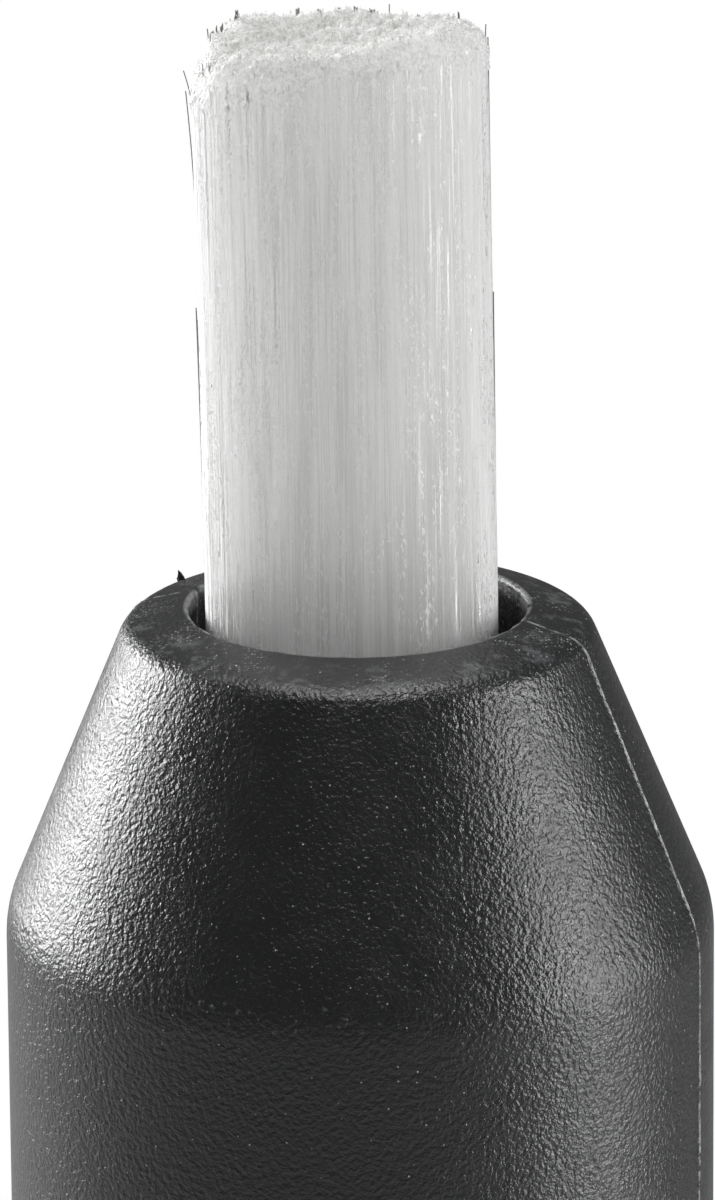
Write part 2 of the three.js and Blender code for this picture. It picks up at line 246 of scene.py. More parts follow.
# Stray fibres: bearing in degrees, low and high end above the mouth, and stand-off at the high end
STRAYS = np.array([
    [-88, 7.0, 7.5, 0.1],
    [-90, 5.6, 7.2, 0.08],
    [-91, 0.2, 4.18, 0.03],
    [-90, 0.3, 4.15, 0.025],
    [-92, 0.5, 4.0, 0.02],
    [91, 4.0, 7.9, 0.02],
    [88, 1.0, 4.4, 0.018],
    [160, 7.1, 7.9, 0.04],
    [-120, 7.0, 7.8, 0.06],
    [100, 7.3, 8.0, 0.03],
])
STRAY_WIDTH = 0.018
STRAY_SINK = 0.02
STRAY_POINTS = 5
STRAY_CURVE = 1.5

# Camera. Its clipping distances are in metres
CAMERA_ELEVATION = math.radians(17.3)
CAMERA_ROLL = math.radians(0.48)
CAMERA_DISTANCE = 140
AIM_RISE = 0.05
CAMERA_AIM = MOUTH_HEIGHT + AIM_RISE
CAMERA_CLIP = (0.01, 20)
FRAME_HEIGHT = 16.3
SENSOR = 36

# Floor and world: a glow is a share of plain white, seen straight or through glass, or seen in gloss
FLOOR_SIZE = 8000
FLOOR_GAP = 0.02
FLOOR_COLOUR = (0.42, 0.42, 0.42, 1)
FLOOR_ROUGHNESS = 0.9
FLOOR_GLOW = 1.0
SHADOW_GLOW = 0.55
SHADOW_REACH = (20, 190)
MIRRORED_GLOW = 0.12
WORLD_LIGHT = 0.11

# Plastics and rubber: colours, depth of grain, how pale each kind of wear is, and roughness. The
# mouth's pale edge is partly wear and partly a painted highlight
BLACK = (0.0075, 0.0081, 0.0092)
MOTTLE = 1.4
# Pale colour of specks, flash, scrapes and dust, and of the painted highlight on the mouth's edge
SPECK_AND_HIGHLIGHT = (0.8, 0.81, 0.82)
SCUFF = (0.2, 0.205, 0.21)
COLLAR_BLACK = (0.02, 0.021, 0.023)
PLUG_BLACK = (0.045, 0.047, 0.05)
SCREW_GREY = (0.05, 0.052, 0.056)
IVORY = (0.66, 0.64, 0.58)
RUBBER_DARK = (0.012, 0.012, 0.012)
RUBBER_LIGHT = (0.02, 0.02, 0.02)
GRAIN_SCALE = 14
BARREL_GRAIN = 0.028
KNOB_GRAIN = 0.025
FLASH_GRAIN = 0.016
SATIN_GRAIN = 0.006
RUBBER_GRAIN = 0.01
PARTING_PALE = 0.4
# How pale the mouth's edge is: wear, and a painted highlight along it
MOUTH_PALE_AND_HIGHLIGHT = 0.35
SHOULDER_PALE = 0.3
RIM_RUB = 0.5
KNOB_RUB = 0.45
FLUTE_DUST = 0.16
BLACK_SPECULAR = 1.0
BLACK_ROUGHNESS = (0.27, 0.36)
RIM_ROUGHNESS = (0.2, 0.42)
GROOVE_ROUGHNESS = 0.62
FLUTE_ROUGHNESS = 0.6
SATIN_ROUGHNESS = (0.34, 0.46)
RUBBER_ROUGHNESS = 0.75

# Metals
DRAWN_GRAIN = 0.004
STEEL = (0.55, 0.56, 0.58)
STEEL_ROUGHNESS = (0.22, 0.4)
BRASS = (0.62, 0.45, 0.2)
BRASS_ROUGHNESS = (0.24, 0.42)

# Glass fibre: colours, how far light goes in before it scatters, and depths of unevenness
FIBRE_DARK = (0.7, 0.705, 0.665)
FIBRE_LIGHT = (0.92, 0.925, 0.895)
FIBRE_GLINT = (1, 1, 1)
# Strays and bristles: clear glass painted dark grey, a painted shade for the darkening that refraction
# gives them against the white behind
STRAY_PAINTED_SHADE_DARK = (0.1, 0.1, 0.095)
STRAY_PAINTED_SHADE_LIGHT = (0.5, 0.5, 0.48)
BUNDLE_SCATTER = 14
FELT_SCATTER = 0.5
FIBRE_SCATTER = 1
SCATTER_COLOURS = (1.0, 1.0, 1.0)
GLINT_IOR = 1.9
FLECK_HEIGHT = 0.011
TANGLE_HEIGHT = 0.012
BUNDLE_ROUGHNESS = 0.3
FIBRE_ROUGHNESS = 0.2

SEED = 11
random = np.random.default_rng(SEED)


# Turned shapes

def rounded(before, corner, after, fillet, steps):
    """Points of an arc that rounds one corner of an outline."""
    if not fillet:
        return [corner]
    back = (before - corner) / np.linalg.norm(before - corner)
    onward = (after - corner) / np.linalg.norm(after - corner)
    half = math.acos(np.clip(back @ onward, -1, 1)) / 2
    room = min(np.linalg.norm(before - corner), np.linalg.norm(after - corner)) / 2
    radius = min(fillet, room * math.tan(half))
    middle = corner + (back + onward) / np.linalg.norm(back + onward) * radius / math.sin(half)
    start = corner + back * radius / math.tan(half) - middle
    end = corner + onward * radius / math.tan(half) - middle
    sweep = math.pi - 2 * half
    share = np.linspace(0, 1, steps + 1)[:, None]
    points = np.sin((1 - share) * sweep) * start + np.sin(share * sweep) * end
    return list(middle + points / math.sin(sweep))


def outline(corners, spacing, steps=8):
    """A closed loop of (radius, height) from (radius, height, fillet) corners, with no long gaps."""
    places = [np.array(corner[:2], float) for corner in corners]
    loop = []
    for i, (_, _, fillet) in enumerate(corners):
        after = places[(i + 1) % len(places)]
        loop += rounded(places[i - 1], places[i], after, fillet, steps)
    filled = []
    for start, end in zip(loop, loop[1:] + loop[:1]):
        parts = max(1, math.ceil(np.linalg.norm(end - start) / spacing))
        filled += [start + (end - start) * k / parts for k in range(parts)]
    return np.array(filled)


def new_mesh(name, points, faces, uv=None, smooth=True):
    """A mesh object from points in millimetres."""
    mesh = bpy.data.meshes.new(name)
    mesh.from_pydata((points * MM).tolist(), [], faces)
    mesh.polygons.foreach_set("use_smooth", np.full(len(faces), smooth))
    if uv is not None:
        mesh.uv_layers.new(name="OFBake").data.foreach_set("uv", uv.astype(np.float32).ravel())
    mesh.validate()
    made = bpy.data.objects.new(name, mesh)
    bpy.context.scene.collection.objects.link(made)
    return made


def paint(piece, name, values):
    """Gives each point of a piece its own number, for a material to read."""
    attribute = piece.data.attributes.new(name, "FLOAT", "POINT")
    attribute.data.foreach_set("value", values.astype(np.float32).ravel())


def grid(name, points, closed=True):
    """A skin over rows of points that go round the pen, closed on itself or with a lid at each end."""
    rows, columns, _ = points.shape
    row, column = np.meshgrid(np.arange(rows - (not closed)), np.arange(columns), indexing="ij")
    steps = [(0, 0), (0, 1), (1, 1), (1, 0)]
    corners = [((row + r) % rows) * columns + (column + c) % columns for r, c in steps]
    faces = np.stack(corners, -1).reshape(-1, 4).tolist()
    uv = [np.stack([(column + c) / columns, (row + r) / rows], -1) for r, c in steps]
    uv = np.stack(uv, -2).reshape(-1, 2)
    if not closed:
        lid = np.arange(columns)
        faces += [lid[::-1].tolist(), (lid + (rows - 1) * columns).tolist()]
        uv = np.concatenate([uv, np.zeros((columns, 2)), np.ones((columns, 2))])
    return new_mesh(name, points.reshape(-1, 3), faces, uv)


def turned(name, loop, bearings, relief=None):
    """A closed surface of revolution. relief(radius, height, bearing) adds to the radius."""
    radius, bearing = np.meshgrid(loop[:, 0], bearings, indexing="ij")
    height = np.repeat(loop[:, 1:], len(bearings), axis=1)
    if relief:
        radius = radius + relief(radius, height, bearing)
    return grid(name, np.stack([radius * np.sin(bearing), -radius * np.cos(bearing), height], -1))


def even_bearings(count):
    return np.linspace(0, 2 * math.pi, count, endpoint=False)


def parting_bearings(count):
    """Even columns, with more of them where the two halves of the mould meet."""
    close = np.array(RIDGE_COLUMNS) * RIDGE_WIDTH / BARREL_RADIUS
    lines = [PARTING_BEARING + close, PARTING_BEARING + math.pi + close]
    return np.unique(np.concatenate([even_bearings(count), *lines]))


# Barrel, collar, knob, plug and ferrule

def barrel_loop():
    """The barrel's outline, anticlockwise, with its grip grooves, nose and mouth."""
    floor = BARREL_RADIUS - GROOVE_DEPTH
    corners = [(BORE_RADIUS, BARREL_REAR, INNER_ROUND), (BARREL_RADIUS, BARREL_REAR, END_ROUND)]
    for i in reversed(range(GRIP_COUNT)):
        middle = MOUTH_HEIGHT - GRIP_INSET - i * GRIP_PITCH
        low = middle - GROOVE_WIDTH / 2
        high = middle + GROOVE_WIDTH / 2
        corners += [
            (BARREL_RADIUS, low, GROOVE_ROUND),
            (floor, low + GROOVE_SLOPE, GROOVE_ROUND),
            (floor, high - GROOVE_SLOPE, GROOVE_ROUND),
            (BARREL_RADIUS, high, GROOVE_ROUND),
        ]
    land = MOUTH_HEIGHT - MOUTH_LAND
    return corners + [
        (BARREL_RADIUS, MOUTH_HEIGHT - NOSE_LENGTH, SHOULDER_ROUND),
        (RIM_RADIUS, MOUTH_HEIGHT - RIM_DROP, RIM_ROUND),
        (MOUTH_RADIUS, MOUTH_HEIGHT, MOUTH_ROUND),
        (MOUTH_RADIUS, land, SOFT_ROUND),
        (BORE_RADIUS, land - (BORE_RADIUS - MOUTH_RADIUS), SOFT_ROUND),
    ]


def barrel_relief(radius, height, bearing):
    """The mould's low ridge down both sides of the barrel, and the mouth's worn edge."""
    across = radius * np.sin(bearing - PARTING_BEARING)
    waves = [np.sin(turns * height + phase) for phase, turns in enumerate(RIDGE_WAVES)]
    uneven = 1 - RIDGE_UNEVEN * (1 - np.prod(waves, axis=0))
    ridge = RIDGE_HEIGHT * uneven * np.exp(-((across / RIDGE_WIDTH) ** 2))
    away = np.hypot(radius - MOUTH_RADIUS, height - MOUTH_HEIGHT) / MOUTH_ROUND
    nicks = sum(np.sin(count * bearing + phase) for phase, count in enumerate(MOUTH_NICKS))
    ragged = nicks / len(MOUTH_NICKS)
    return ridge + MOUTH_WEAR * ragged * np.exp(-(away ** 2))


def make_barrel():
    loop = outline(barrel_loop(), BARREL_STEP)
    piece = turned("barrel_shell", loop, parting_bearings(BARREL_COLUMNS), barrel_relief)
    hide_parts("barrel")
    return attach(piece, "barrel")


def make_flash():
    """A torn sliver of mould flash that stands on the far edge of the rim."""
    share = np.linspace(0, 1, FLASH_ROWS)[:, None]
    turn = even_bearings(FLASH_COLUMNS)
    uneven = 1 + FLASH_UNEVEN * np.sin(9 * share + 2) * np.cos(turn - 1)
    half_width = FLASH_WIDTH / 2 * (1 - share) ** FLASH_WIDTH_TAPER * uneven
    half_thickness = FLASH_THICKNESS / 2 * (1 - share) ** FLASH_THICKNESS_TAPER
    radius = FLASH_RADIUS - half_width * np.cos(turn) + FLASH_LEAN * share
    across = half_thickness * np.sin(turn) + FLASH_CURL * share ** 2
    x = radius * math.sin(FLASH_BEARING) + across * math.cos(FLASH_BEARING)
    y = -radius * math.cos(FLASH_BEARING) + across * math.sin(FLASH_BEARING)
    tall = FLASH_HEIGHT + FLASH_TILT * np.cos(turn + 0.5)
    height = MOUTH_HEIGHT - FLASH_DROP + tall * share
    piece = grid("mould_flash", np.stack([x, y, height], -1), closed=False)
    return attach(piece, "barrel")


def make_collar():
    rear, front = COLLAR_LOW[2], COLLAR_HIGH[2]
    shoulder = rear + COLLAR_FLANGE
    recess = front - RECESS_DEPTH
    loop = outline([
        (COLLAR_BORE, rear, INNER_ROUND),
        (BARREL_RADIUS, rear, END_ROUND),
        (BARREL_RADIUS, shoulder, END_ROUND),
        (GUIDE_RADIUS, shoulder, 0),
        (GUIDE_RADIUS, front, INNER_ROUND),
        (RECESS_RADIUS, front, 0),
        (RECESS_RADIUS, recess, 0),
        (COLLAR_BORE, recess, 0),
    ], OUTLINE_STEP)
    piece = turned("collar_ring", loop, even_bearings(COLLAR_COLUMNS))
    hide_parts("retaining_collar")
    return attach(piece, "barrel")


def flutes(radius, height, bearing):
    """Finger flutes that run out smoothly at both ends, on the outside of the knob only."""
    pitch = 2 * math.pi / FLUTE_COUNT
    turn = bearing - math.pi / 2
    across = BARREL_RADIUS * (turn - pitch * np.round(turn / pitch))
    arc = np.sqrt(np.maximum(FLUTE_RADIUS ** 2 - across ** 2, 0))
    depth = np.maximum(arc - (FLUTE_RADIUS - FLUTE_DEPTH), 0)
    from_rear = (height - KNOB_LOW[2] - FLUTE_MARGIN) / FLUTE_RUNOUT
    from_front = (KNOB_HIGH[2] - FLUTE_MARGIN - height) / FLUTE_RUNOUT
    run = np.clip(np.minimum(from_rear, from_front), 0, 1)
    outside = radius > BARREL_RADIUS - FLUTE_DEPTH
    return np.where(outside, -depth * np.sqrt(1 - (1 - run) ** 2), 0)


def make_knob():
    rear, front = KNOB_LOW[2], KNOB_HIGH[2]
    head = PLUG_HIGH[0] + FIT_GAP
    head_seat = rear + HEAD_THICKNESS + FIT_GAP
    spigot = SPIGOT_RADIUS + FIT_GAP
    tube_seat = rear + TUBE_SEAT_HEIGHT
    loop = outline([
        (head, rear, KNOB_LIP_ROUND),
        (BARREL_RADIUS, rear, KNOB_REAR_ROUND),
        (BARREL_RADIUS, front, KNOB_FRONT_ROUND),
        (TUBE_SEAT_RADIUS, front, INNER_ROUND),
        (TUBE_SEAT_RADIUS, tube_seat, 0),
        (spigot, tube_seat, 0),
        (spigot, head_seat, 0),
        (head, head_seat, 0),
    ], KNOB_STEP)
    piece = turned("fluted_knob", loop, even_bearings(FLUTE_COUNT * FLUTE_COLUMNS), flutes)
    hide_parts("twist_knob")
    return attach(piece, "knob")


def make_plug():
    """The plug in the knob's end, with a dimple in its flat face."""
    rear, front = PLUG_LOW[2], PLUG_HIGH[2]
    head = PLUG_HIGH[0]
    dimple = rear + DIMPLE_DEPTH
    seat = rear + HEAD_THICKNESS
    loop = outline([
        (AXIS_RADIUS, dimple, 0),
        (DIMPLE_RADIUS, dimple, FINE_ROUND),
        (DIMPLE_RADIUS + DIMPLE_SLOPE, rear, FINE_ROUND),
        (head, rear, SOFT_ROUND),
        (head, seat, FINE_ROUND),
        (SPIGOT_RADIUS, seat, 0),
        (SPIGOT_RADIUS, front, SPIGOT_ROUND),
        (AXIS_RADIUS, front, 0),
    ], OUTLINE_STEP)
    piece = turned("knob_plug", loop, even_bearings(SMALL_COLUMNS))
    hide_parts("end_plug")
    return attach(piece, "knob")


def make_ferrule():
    """The drawn sleeve that holds the bundle, with a crimp near its open end."""
    rear, front = FERRULE_LOW[2], FERRULE_HIGH[2]
    radius = FERRULE_HIGH[0]
    waist = radius - CRIMP_DEPTH
    crimp = front - CRIMP_INSET
    bore = BUNDLE_RADIUS + FIT_GAP
    floor = rear + FERRULE_FLOOR
    loop = outline([
        (AXIS_RADIUS, rear, 0),
        (radius, rear, FERRULE_ROUND),
        (radius, crimp - CRIMP_REACH, SOFT_ROUND),
        (waist, crimp - CRIMP_FLAT, SOFT_ROUND),
        (waist, crimp + CRIMP_FLAT, SOFT_ROUND),
        (radius, crimp + CRIMP_REACH, SOFT_ROUND),
        (radius, front, FINE_ROUND),
        (bore, front, FINE_ROUND),
        (bore, floor, SOFT_ROUND),
        (AXIS_RADIUS, floor, 0),
    ], OUTLINE_STEP)
    piece = turned("fibre_ferrule", loop, even_bearings(SMALL_COLUMNS))
    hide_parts("ferrule")
    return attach(piece, "refill")


# Fibres

def lean(height):
    """How far the bundle has bent to the viewer's left at a height."""
    share = (height - FERRULE_HIGH[2]) / (MOUTH_HEIGHT - FERRULE_HIGH[2])
    return -BUNDLE_SHIFT * np.maximum(share, 0) ** 3


def tip_height(x, y):
    """Height of the worn tip: level, rising to its long side, with lumps, a pit and a short layer."""
    along = (x * math.sin(TIP_BEARING) - y * math.cos(TIP_BEARING)) / BUNDLE_RADIUS
    rise = TIP_RISE * np.maximum(along, 0) ** TIP_CURVE
    lumps = LUMP_HEIGHT * np.sin(LUMP_WAVES[0] * x + 1.1) * np.cos(LUMP_WAVES[1] * y)
    ripples = RIPPLE_HEIGHT * np.sin(RIPPLE_WAVES[0] * x + RIPPLE_WAVES[1] * y)
    pit = PIT_DEPTH * np.exp(-((x - PIT_X) / PIT_WIDTH) ** 2 - ((y - PIT_Y) / PIT_LENGTH) ** 2)
    step = STEP_HEIGHT * np.clip((-x - STEP_REACH) / FIBRE_PITCH, 0, 1)
    return TIP_HEIGHT + rise + lumps + ripples - pit - step


def edge_drop(radius):
    """How far the worn edge has rounded down at a radius."""
    past = np.clip(1 - (BUNDLE_RADIUS - radius) / EDGE_ROUND, 0, 1)
    return EDGE_ROUND * (1 - np.sqrt(1 - past ** 2))


FELT_WAYS = random.normal(0, 1, (FELT_WAVES, 3))
FELT_WAYS /= np.linalg.norm(FELT_WAYS, axis=1, keepdims=True)
FELT_TURNS = 2 * math.pi / random.uniform(*FELT_LENGTHS, FELT_WAVES)
FELT_STARTS = random.uniform(0, 2 * math.pi, FELT_WAVES)


def felt(x, y, height):
    """Soft random lumps of the felted fibre ends, made of waves that run every way."""
    along = np.stack([x, y, height], -1) @ FELT_WAYS.T
    waves = np.sin(along * FELT_TURNS + FELT_STARTS)
    return FELT_HEIGHT * np.sum(waves, axis=-1) / math.sqrt(FELT_WAVES / 2)


def torn_height(x, y):
    """The worn tip with its felted fibre ends."""
    height = tip_height(x, y)
    return height + felt(x, y, height)


def smoothed(values, passes):
    """Evens out a table of numbers down its rows."""
    for _ in range(passes):
        padded = np.pad(values, ((1, 1), (0, 0)), mode="edge")
        values = (padded[:-2] + 2 * padded[1:-1] + padded[2:]) / 4
    return values


def wavy(bearing, waves):
    """A random line round the bundle, mostly between -1 and 1."""
    turns = np.arange(1, waves + 1)[:, None]
    phases = random.uniform(0, 2 * math.pi, (waves, 1))
    return np.sum(np.sin(turns * bearing + phases) / np.sqrt(turns), axis=0) / 2


def skin_fibres(rows):
    """Radius and bearing of a ridge for every outer fibre and the furrows between them."""
    columns = np.arange(2 * SKIN_FIBRES)
    shape = (rows, len(columns))
    furrow = np.where(columns % 2 == 0, 0, SKIN_DEPTH)
    depth = furrow + random.uniform(0, SKIN_DEPTH / 2, len(columns))
    radius = BUNDLE_RADIUS - depth - smoothed(random.uniform(0, SKIN_UNEVEN, shape), 2)
    sway = random.uniform(-FIBRE_SWAY, FIBRE_SWAY, len(columns))
    sway = sway + smoothed(random.normal(0, FIBRE_WANDER, shape), 3)
    pitch = 2 * math.pi / len(columns)
    return radius, (columns + np.clip(sway, -MOST_SWAY, MOST_SWAY)) * pitch


def felted_cap(rim_x, rim_y):
    """Rings of the tip, from its worn edge to the middle: x, y, height and how torn each point is."""
    turn = np.linspace(0, math.pi / 2, ROLL_ROWS + 1)[1:, None]
    roll = 1 - EDGE_ROUND * (1 - np.cos(turn)) / BUNDLE_RADIUS
    flat = np.linspace(roll[-1], AXIS_SHARE, TIP_RINGS)[1:]
    reach = np.concatenate([roll, flat])
    upward = np.concatenate([np.sin(turn), np.ones_like(flat)])
    outward = np.concatenate([np.cos(turn), np.zeros_like(flat)])
    torn = np.concatenate([np.linspace(EDGE_TORN, 1, ROLL_ROWS)[:, None], np.ones_like(flat)])
    x, y = reach * rim_x, reach * rim_y
    height = tip_height(x, y) - EDGE_ROUND * (1 - upward)
    lumps = felt(x, y, height)
    swell = 1 + outward * lumps / BUNDLE_RADIUS
    return x * swell, y * swell, height + upward * lumps, torn * np.ones_like(x)


def make_bundle():
    """The bundle's closed body: a ridge for every outer fibre, a frayed edge and a torn tip."""
    radius, bearing = skin_fibres(INSIDE_ROWS + SHOWN_ROWS)
    rim_x, rim_y = radius[-1] * np.sin(bearing[-1]), -radius[-1] * np.cos(bearing[-1])
    top = tip_height(rim_x, rim_y) - EDGE_ROUND
    hem = FELT_HANG * (1 + wavy(bearing[-1], HEM_WAVES)) / 2

    inside = np.linspace(BUNDLE_LOW[2], MOUTH_HEIGHT - HIDDEN_DEPTH, INSIDE_ROWS)[:, None]
    up = np.linspace(0, 1, SHOWN_ROWS + 1)[1:, None]
    shown = inside[-1] + up * (top - FRAY_HEIGHT - inside[-1])
    fray = np.linspace(0, 1, FRAY_ROWS + 1)[1:, None]
    below_top = FRAY_HEIGHT * (1 - fray)
    felted = np.clip((hem - below_top) / FELT_EDGE, 0, 1)
    frayed = top - below_top + fray ** 3 * random.normal(0, FRAY_UNEVEN, felted.shape)
    lumps = felt(np.broadcast_to(rim_x, frayed.shape), np.broadcast_to(rim_y, frayed.shape), frayed)
    radius = np.concatenate([radius, radius[-1] + felted * lumps])
    bearing = np.concatenate([bearing, np.repeat(bearing[-1:], FRAY_ROWS, axis=0)])

    x, y = radius * np.sin(bearing), -radius * np.cos(bearing)
    foot_height = np.full_like(x[:1], BUNDLE_LOW[2])
    cap_x, cap_y, cap_height, cap_torn = felted_cap(rim_x, rim_y)
    height = np.concatenate([foot_height, inside * np.ones_like(top), shown, frayed, cap_height])
    x = np.concatenate([AXIS_SHARE * x[:1], x, cap_x])
    y = np.concatenate([AXIS_SHARE * y[:1], y, cap_y])
    whole = np.zeros((1 + INSIDE_ROWS + SHOWN_ROWS, len(top)))
    piece = grid("fibre_bundle_body", np.stack([x + lean(height), y, height], -1), closed=False)
    paint(piece, "torn", np.concatenate([whole, EDGE_TORN * felted, cap_torn]))
    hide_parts("fibre_bundle")
    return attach(piece, "refill")


def prisms(name, paths, widths, tones, sides=3):
    """One mesh of thin closed prisms. paths is (count, points, 3), widths is (count, points)."""
    count, points, _ = paths.shape
    turn = random.uniform(0, 2 * math.pi, (count, 1, 1))
    angle = turn + 2 * math.pi * np.arange(sides) / sides
    ring = np.stack([np.cos(angle), np.sin(angle), np.zeros_like(angle)], -1)
    corners = paths[:, :, None, :] + widths[:, :, None, None] / 2 * ring
    first = np.arange(count)[:, None] * points * sides
    step = np.arange(points - 1)[None, :, None] * sides
    side = np.arange(sides)
    low_a = first[:, :, None] + step + side
    low_b = first[:, :, None] + step + (side + 1) % sides
    walls = np.stack([low_a, low_b, low_b + sides, low_a + sides], -1).reshape(-1, 4)
    foot = first + side[::-1]
    head = first + (points - 1) * sides + side
    faces = walls.tolist() + foot.tolist() + head.tolist()
    made = new_mesh(name, corners.reshape(-1, 3), faces, smooth=False)
    paint(made, "tone", np.repeat(tones, points * sides))
    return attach(made, "refill")


def make_crumbs():
    """Broken ends that lie across the tip."""
    radius = (BUNDLE_RADIUS - CRUMB_MARGIN) * np.sqrt(random.uniform(0, 1, CRUMBS))
    angle = random.uniform(0, 2 * math.pi, CRUMBS)
    x, y = radius * np.cos(angle), radius * np.sin(angle)
    start = np.stack([x, y, torn_height(x, y) - edge_drop(radius) - CRUMB_SINK], -1)
    tilt = random.uniform(*CRUMB_TILTS, CRUMBS)
    way = random.uniform(0, 2 * math.pi, CRUMBS)
    length = random.uniform(*CRUMB_LENGTHS, CRUMBS)
    run = np.stack([np.cos(way) * np.sin(tilt), np.sin(way) * np.sin(tilt), np.cos(tilt)], -1)
    paths = np.stack([start, start + run * length[:, None]], 1)
    paths[:, :, 0] += lean(paths[:, :, 2])
    widths = CRUMB_WIDTH * random.uniform(*CRUMB_WIDTHS, (CRUMBS, 1)) * np.ones(2)
    return prisms("fibre_crumbs", paths, widths, random.uniform(0, 1, CRUMBS))


def make_fluff():
    """Fragments that cling to the sides just below the tip."""
    bearing = random.uniform(0, 2 * math.pi, FLUFF)
    x, y = BUNDLE_RADIUS * np.sin(bearing), -BUNDLE_RADIUS * np.cos(bearing)
    low = tip_height(x, y) - EDGE_ROUND + FLUFF_RISE - random.exponential(FLUFF_HANG, FLUFF)
    length = random.uniform(*FLUFF_LENGTHS, FLUFF)
    slope = random.normal(0, FLUFF_SLOPE, FLUFF)
    stand = random.uniform(*FLUFF_STAND, (FLUFF, 2))
    ends = np.stack([0 * length, length], -1)
    height = low[:, None] + ends * np.cos(slope)[:, None]
    turn = bearing[:, None] + ends * np.sin(slope)[:, None] / BUNDLE_RADIUS
    radius = BUNDLE_RADIUS - FLUFF_SINK + stand
    paths = np.stack([radius * np.sin(turn) + lean(height), -radius * np.cos(turn), height], -1)
    widths = CRUMB_WIDTH * random.uniform(*FLUFF_WIDTHS, (FLUFF, 1)) * np.ones(2)
    return prisms("fibre_fluff", paths, widths, random.uniform(0, 1, FLUFF))


def make_bristles():
    """Tufts of longer ends that stand side by side round the edge of the tip."""
    count = TUFTS * TUFT_FIBRES
    beside = np.tile(np.arange(TUFT_FIBRES), TUFTS) * CRUMB_WIDTH / BUNDLE_RADIUS
    bearing = np.repeat(random.uniform(*TUFT_BEARINGS, TUFTS), TUFT_FIBRES) + beside
    radius = BUNDLE_RADIUS - np.repeat(random.uniform(*TUFT_INSETS, TUFTS), TUFT_FIBRES)
    x, y = radius * np.sin(bearing), -radius * np.cos(bearing)
    top = torn_height(x, y) - edge_drop(radius)
    rise = np.repeat(random.uniform(*TUFT_RISES, TUFTS), TUFT_FIBRES)
    rise = rise + random.uniform(0, TUFT_UNEVEN, count)
    foot = np.stack([x, y, top - TUFT_ROOT], -1)
    head = np.stack([x, y, top + rise], -1)
    paths = np.stack([foot, head], 1)
    paths[:, :, 0] += lean(paths[:, :, 2])
    widths = CRUMB_WIDTH * np.ones((count, 2))
    return prisms("fibre_bristles", paths, widths, random.uniform(0, 1, count))


def make_strays():
    """Single fibres that stand off the bundle."""
    bearing = np.radians(STRAYS[:, :1])
    low, high, stand = STRAYS[:, 1:2], STRAYS[:, 2:3], STRAYS[:, 3:]
    share = np.linspace(0, 1, STRAY_POINTS)
    height = MOUTH_HEIGHT + low + (high - low) * share
    radius = BUNDLE_RADIUS - STRAY_SINK + stand * share ** STRAY_CURVE
    x = radius * np.sin(bearing) + lean(height)
    y = -radius * np.cos(bearing)
    widths = STRAY_WIDTH * np.ones_like(height)
    return prisms("fibre_strays", np.stack([x, y, height], -1), widths, np.zeros(len(STRAYS)))


# Materials

